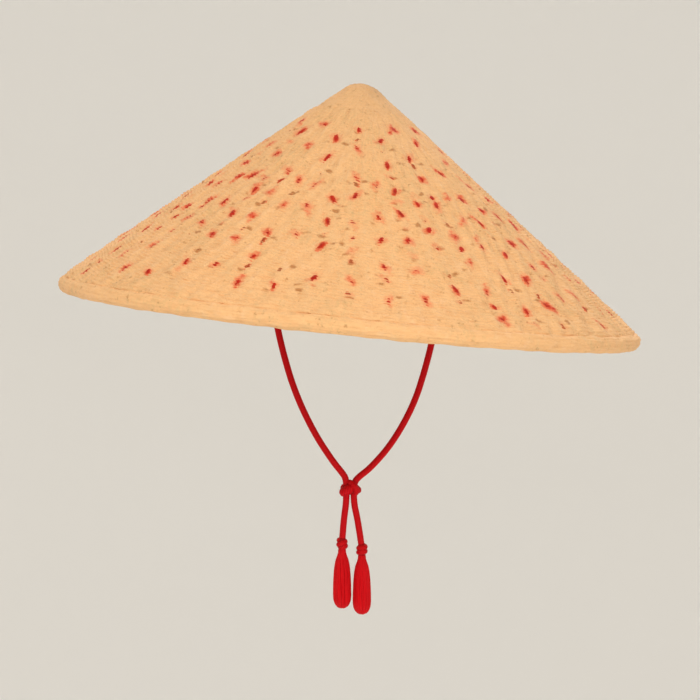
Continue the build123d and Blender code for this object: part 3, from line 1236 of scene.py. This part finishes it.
# %% The bamboo hoops
HOOPS = {"lower_hoop": 58, "middle_hoop": 114, "upper_hoop": 194, "apex_hoop": 230}
HOOP_DEPTH = 7.55 * MM
HOOP_RADIUS = 1.8 * MM
JOINT_SPACING = 0.13
for name, along_mm in HOOPS.items():
    r, z = wall(along_mm * MM, HOOP_DEPTH)
    hoop = torus(r, HOOP_RADIUS, int(max(96, 2 * math.pi * r / (2.2 * MM))), 14, z)
    angle, radius, height = polar(hoop)
    joints = max(4, round(2 * math.pi * r / JOINT_SPACING))
    to_joint = np.abs(np.sin(0.5 * joints * angle + along_mm)) * 2 / joints * r
    joint = np.exp(-((to_joint / (1.3 * MM)) ** 2))
    grow = 1 + 0.16 * joint + 0.03 * np.sin(17 * angle)
    set_polar(hoop, angle, r + (radius - r) * grow, z + (height - z) * grow)
    store(hoop, "joint", joint)
    place(hoop, f"bamboo_{name}", "hat", bamboo, [name], LEAN)
# %% Lashings
SECONDARY_END = 200
TIE_DEPTH = 6.1 * MM
lashing_line = []
for k in range(33):
    a = math.pi * k / 8
    lashing_line.append((3.4 * MM * math.cos(a), (k - 16) * 0.09 * MM, 2.75 * MM * math.sin(a)))
lashing = swept(np.array(lashing_line), 0.42 * MM, 6, ends=2)
lashing.data.transform(turn(38, "Y"))
for name, along_mm in HOOPS.items():
    count = MAIN_STRANDS if along_mm < SECONDARY_END else MAIN_STRANDS // 2
    rib_r, rib_z = wall(along_mm * MM, TIE_DEPTH)
    ties = []
    for k in range(count):
        slant = turn(12 if k % 2 else -12, "X")
        ties.append(copied(lashing, turn(360 * k / count) @ move(rib_r, 0, rib_z) @ slant))
    place(joined(ties), f"{name}_lashings", "hat", cane, [], LEAN)
drop(lashing)
print("four hoops and their lashings made")

# %% [markdown]
# ## The head band
# The head band is a cylinder of woven strip that carries the hat on the head. Its upper edge is sewn
# under the cone. Upright stakes stand all round, and flat strips go over one and under the
# next, row by row. Each strip is spun as a whole ring that waves in and out past the stakes, and one
# stake is made and copied round.
# %% Head band
BAND_R = 76.2 * MM
BAND_LOW, BAND_HIGH = -3 * MM, 41.5 * MM
STAKES = 72
STRIP_ROWS = 9
STRIP_PITCH = (BAND_HIGH - BAND_LOW) / STRIP_ROWS
band_weave = cane_paint("woven_strip", (232, 198, 146), (196, 150, 96))


def woven_ring(row):
    """One flat strip that goes over and under the stakes round the band."""
    low = BAND_LOW + row * STRIP_PITCH + 0.15 * MM
    high = low + STRIP_PITCH - 0.3 * MM
    inner, outer = BAND_R + 0.5 * MM, BAND_R + 1.05 * MM
    crest = (outer + 0.1 * MM, (low + high) / 2)
    ring = spun([(inner, low), (outer, low), crest, (outer, high), (inner, high)], STAKES * 5)
    angle, radius, height = polar(ring)
    push = 0.5 * MM * np.cos(angle * STAKES / 2 + np.pi * (row % 2))
    set_polar(ring, angle, radius + push, height)
    return ring


rings = [woven_ring(row) for row in range(STRIP_ROWS)]
# %% The stakes
stake = added(bpy.ops.mesh.primitive_cube_add, size=1)
halved()
modified(stake, "BEVEL", width=0.08)
stake.data.transform(stretch(0.55 * MM, 3.2 * MM, BAND_HIGH - BAND_LOW - 0.4 * MM))
stake.data.transform(move(BAND_R + 0.78 * MM, 0, (BAND_LOW + BAND_HIGH) / 2))
stakes = [copied(stake, turn(360 * k / STAKES)) for k in range(STAKES)]
drop(stake)
band = joined(rings + stakes)
place(band, "woven_band", "hat", band_weave, ["head_band"], angle=40)
print("woven band:", len(band.data.polygons), "faces")

# %% [markdown]
# ## The sweatband and the cord tabs
# A folded cotton tape lines the band where it meets the forehead. Two cotton tabs are sewn inside it
# and hang below, each with a brass eyelet for the cord. The tape is spun from a rounded
# outline, and the stitches are small capsules copied round it.
# %% Cotton material


def cotton_paint():
    paint = Paint("cotton_tape", Sheen_Weight=0.3, Sheen_Roughness=0.6)
    x, y, z = paint.split(paint.place_at())
    ux, uy, _ = round_the_hat(paint)
    warp = ((ux * 240).sine() * (uy * 240).sine()).size()
    weft = (z * 4200).sine().size()
    twill = ((x + y) * 2600 + z * 2600).sine() * 0.5 + 0.5
    soft = paint.noise(paint.place_at(), 90.0, 3.0)
    colour = paint.layers(
        (226, 208, 178),
        ((196, 172, 138), twill * 0.35),
        ((178, 150, 112), soft.ramp(0.52, 0.75) * 0.4),
    )
    height = twill * 0.6 + weft * 0.25 + warp * 0.15
    return paint.finished(colour, 0.88, height, 0.00025, 0.7)


cotton = cotton_paint()
thread_white = Paint("cotton_thread").finished(linear(240, 232, 212), 0.8)
# %% The sweatband
TAPE = [
    (75.0, -2.4), (75.35, -3.0), (75.85, -3.0), (76.15, -2.4), (76.05, -0.6), (76.15, 8),
    (76.15, 21.4), (75.85, 22.0), (75.35, 22.0), (75.0, 21.4), (75.12, 19.6), (74.98, 17),
    (75.0, 9.5), (74.98, 2), (75.12, -0.7),
]
tape = spun([(r * MM, z * MM) for r, z in TAPE], 220)
angle, radius, height = polar(tape)
ripple = 1 + 0.0016 * np.sin(angle * 9 + 1) + 0.0012 * np.sin(angle * 22 + height * 260)
set_polar(tape, angle, radius * ripple, height)
place(tape, "sweat_tape", "hat", cotton, ["sweatband"], angle=50)
# %% Its stitches
stitch = rounded_core(0.28 * MM, 1.25 * MM, 0.3 * MM, 8, 6)
stitches = []
for height in (-0.9 * MM, 19.8 * MM):
    for k in range(120):
        stitches.append(copied(stitch, turn(3 * k) @ move(75.0 * MM, 0, height)))
place(joined(stitches), "tape_stitches", "hat", thread_white, angle=80)
# %% The cord tabs
TAB_IN, TAB_OUT = 72.773 * MM, 74.573 * MM
TAB_MIDDLE = (TAB_IN + TAB_OUT) / 2
EYELET_Z = -14 * MM


def tab_outline(half, top):
    """A straight tab whose foot is a half circle round the eyelet."""
    points = [(half, top), (half, EYELET_Z)]
    for k in range(1, 18):
        a = math.pi * k / 18
        points.append((half * math.cos(a), EYELET_Z - half * math.sin(a)))
    return [*points, (-half, EYELET_Z), (-half, top)]


def cloth_tab(side):
    """A folded cotton tab with a turned edge and a hole for its eyelet."""
    outline = tab_outline(7 * MM, 9.8 * MM)
    circle = bpy.ops.mesh.primitive_circle_add
    tab = added(circle, vertices=len(outline), radius=1, fill_type="NGON")
    set_coords(tab, [(TAB_IN + 0.35 * MM, y, z) for y, z in outline])
    edit_all()
    thick = TAB_OUT - TAB_IN - 0.7 * MM
    bpy.ops.mesh.extrude_region_move(TRANSFORM_OT_translate={"value": (thick, 0, 0)})
    bpy.ops.mesh.select_all(action="SELECT")
    bpy.ops.mesh.bevel(offset=0.34 * MM, segments=2, affect="EDGES")
    outward(tab)
    cutter = added(
        bpy.ops.mesh.primitive_cylinder_add, vertices=40, radius=3.4 * MM, depth=8 * MM,
        rotation=(0, math.pi / 2, 0), location=(TAB_MIDDLE, 0, EYELET_Z),
    )
    modified(tab, "BOOLEAN", object=cutter, operation="DIFFERENCE", solver="EXACT")
    drop(cutter)
    if side < 0:
        tab.data.transform(turn(180))
    return tab


# %% The brass eyelets
FLANGE = [(3.3, 0.08), (4.1, 0.0), (4.9, 0.12), (5.35, 0.5), (5.2, 0.75), (3.5, 0.8)]


def brass_eyelet(side):
    """A tube with a rolled flange on each face, spun from its outline."""
    half = (TAB_OUT - TAB_IN) / 2 + 0.8 * MM
    outline = [(r * MM, z * MM - half) for r, z in [(2.9, 0.5), *FLANGE]]
    ring = spun(outline + [(r, -z) for r, z in reversed(outline)], 48)
    ring.data.transform(move(side * TAB_MIDDLE, 0, EYELET_Z) @ turn(90, "Y"))
    return ring


def brass_paint():
    paint = Paint("brass", Metallic=1.0)
    tarnish = paint.noise(paint.place_at(), 700.0, 3.0)
    colour = paint.mix((222, 178, 92), (168, 122, 56), tarnish.ramp(0.45, 0.7) * 0.6)
    return paint.finished(colour, 0.26 + tarnish * 0.2)


brass = brass_paint()
# %% Tabs, eyelets and stitches on both sides
for name, side in (("left", -1), ("right", 1)):
    tab = cloth_tab(side)
    place(tab, f"{name}_tab", "hat", cotton, [f"{name}_cord_tab"], angle=40)
    ring = brass_eyelet(side)
    place(ring, f"{name}_brass_eyelet", "hat", brass, [f"{name}_eyelet"], angle=50)
    rows = []
    for y in (-5.4 * MM, 5.4 * MM):
        for k in range(7):
            at = move(side * (TAB_IN + 0.02 * MM), y, (8.2 - k * 3.1) * MM)
            rows.append(copied(stitch, at @ turn(90, "X")))
    place(joined(rows), f"{name}_tab_stitches", "hat", thread_white, angle=80)
drop(stitch)
print("sweatband, tabs and eyelets made")

# %% [markdown]
# ## The head ring
# A rattan ring stiffens the foot of the head band. It is a torus of round cane, and a finer cane
# winds over it in a long spiral. On the real hat that cane also passes through the band and ties the
# two together.
# %% The head ring
RING_R, RING_TUBE = 80.4 * MM, 2.4 * MM
ring = torus(RING_R, RING_TUBE, 240, 16)
place(ring, "rattan_ring", "hat", cane, ["head_ring"])
TURNS = 60
WIND_R = 2.42 * MM
winding = []
for k in range(TURNS * 14 + 1):
    a = 2 * math.pi * k / (TURNS * 14)
    b = TURNS * a
    reach = RING_R + WIND_R * math.cos(b)
    winding.append((reach * math.cos(a), reach * math.sin(a), WIND_R * math.sin(b)))
cane_wrap = swept(np.array(winding), 0.42 * MM, 6)
place(cane_wrap, "ring_winding", "hat", straw_plain, angle=80)
print("head ring made")

# %% [markdown]
# ## Loose fibres
# Hand-split leaf frays, so short fibres stand off the straw all over the outside. One
# bent fibre of a few faces is modelled once and copied about, and the copies are joined.
# %% Loose fibres
fray = random.Random(5)
FIBRES = 900
fibre_model = added(
    bpy.ops.mesh.primitive_cone_add, vertices=3, radius1=0.2 * MM, radius2=0.04 * MM, depth=1
)
halved()
points = coords(fibre_model)
points[:, 0] += 0.6 * MM * (points[:, 2] + 0.5) ** 2
set_coords(fibre_model, points)
fibres = []
for k in range(FIBRES):
    r, z = wall(fray.uniform(0.0, 1.0) ** 1.3 * 238 * MM, 0.1 * MM)
    size = fray.uniform(3.0, 7.5) * MM
    lift = fray.uniform(4, 24)
    flat = turn(fray.uniform(-22, 22)) @ turn(90 - lift, "X") @ stretch(1, 1, size)
    onto = move(r, 0, z) @ Matrix.Rotation(SLOPE, 4, "Y")
    fibres.append(copied(fibre_model, turn(fray.uniform(0, 360)) @ onto @ flat))
drop(fibre_model)
fuzz = joined(fibres)
place(fuzz, "loose_fibres", "hat", straw_plain, [], LEAN, 80)
print("loose fibres:", len(fuzz.data.polygons), "faces")

# %% [markdown]
# ## The studio
# The floor is a pale bowl that curves up all round, so no edge shows behind the hat. It lies far
# below, since the hat is held up. A large soft light stands at the front left, a weaker
# one at the right, and the pale sky fills in the rest.
# %% The studio
FLOOR, FLAT_R, CURVE, WALL_TOP = -2.5, 2.4, 1.4, 5.2
side_r = FLAT_R + CURVE
bowl_outline = [(0.0, FLOOR), (FLAT_R, FLOOR)]
for k in range(1, 12):
    a = math.pi / 2 * k / 12
    bowl_outline.append((FLAT_R + CURVE * math.sin(a), FLOOR + CURVE - CURVE * math.cos(a)))
bowl_outline += [(side_r, FLOOR + CURVE), (side_r, WALL_TOP), (side_r + 0.1, WALL_TOP)]
bowl_outline += [(side_r + 0.1, FLOOR - 0.1), (0.0, FLOOR - 0.1)]
bowl = spun(bowl_outline, 96)
bowl.name = "studio_floor"
smooth(bowl, 60)
paper = Paint("studio_paper", Specular_IOR_Level=0.2).finished(linear(244, 242, 238), 0.9)
bowl.data.materials.append(paper)
world = bpy.data.worlds.new("pale_sky")
bpy.context.scene.world = world
world.use_nodes = True
sky = next(n for n in world.node_tree.nodes if n.type == "BACKGROUND")
sky.inputs["Color"].default_value = (1.0, 0.975, 0.94, 1.0)
sky.inputs["Strength"].default_value = 0.58


# %% The lights
def softbox(name, spot, aim, size, power, tint=(1, 1, 1)):
    light = added(bpy.ops.object.light_add, type="AREA", location=spot)
    light.name = name
    light.data.shape = "DISK"
    light.data.size = size
    light.data.energy = power
    light.data.color = tint
    light.rotation_euler = (Vector(aim) - Vector(spot)).to_track_quat("-Z", "Y").to_euler()


softbox("key", (-1.1, -2.1, 1.7), (0, 0, -0.05), 1.8, 43, (1.0, 0.98, 0.95))
softbox("fill", (1.9, -1.7, 0.5), (0, 0, -0.1), 1.8, 17, (1.0, 0.99, 0.98))
softbox("rim", (0.3, 2.0, 1.6), (0, 0, 0.0), 1.4, 22)
softbox("low", (0.0, -1.2, -1.3), (0, 0, -0.1), 1.6, 9)

# %% [markdown]
# ## The camera
# The camera stands level with the hat, a metre and a half in front, with a long lens. It is tilted
# a few degrees, so the hat hangs down to the right in the picture.
# %% The camera
EYE = Vector((0, -1.505, 0.0086))
TARGET = Vector((0, 0, 0.01465))
ROLL = math.radians(5.86)
IN_PICTURE = Vector((0.00527, 0.07288, -1.0)).normalized()
camera = added(bpy.ops.object.camera_add, location=EYE)
straight = (TARGET - EYE).to_track_quat("-Z", "Y").to_matrix()
rolled = straight @ Matrix.Rotation(ROLL, 3, "Z")
aimed = rolled @ IN_PICTURE.rotation_difference(Vector((0, 0, -1))).to_matrix()
camera.rotation_euler = aimed.to_euler()
camera.data.sensor_width = 36
camera.data.lens = 104.4
camera.data.clip_start = 0.05
camera.data.clip_end = 20
camera.data.dof.use_dof = False
bpy.context.scene.camera = camera
bpy.context.scene.view_settings.view_transform = "Standard"
clear()
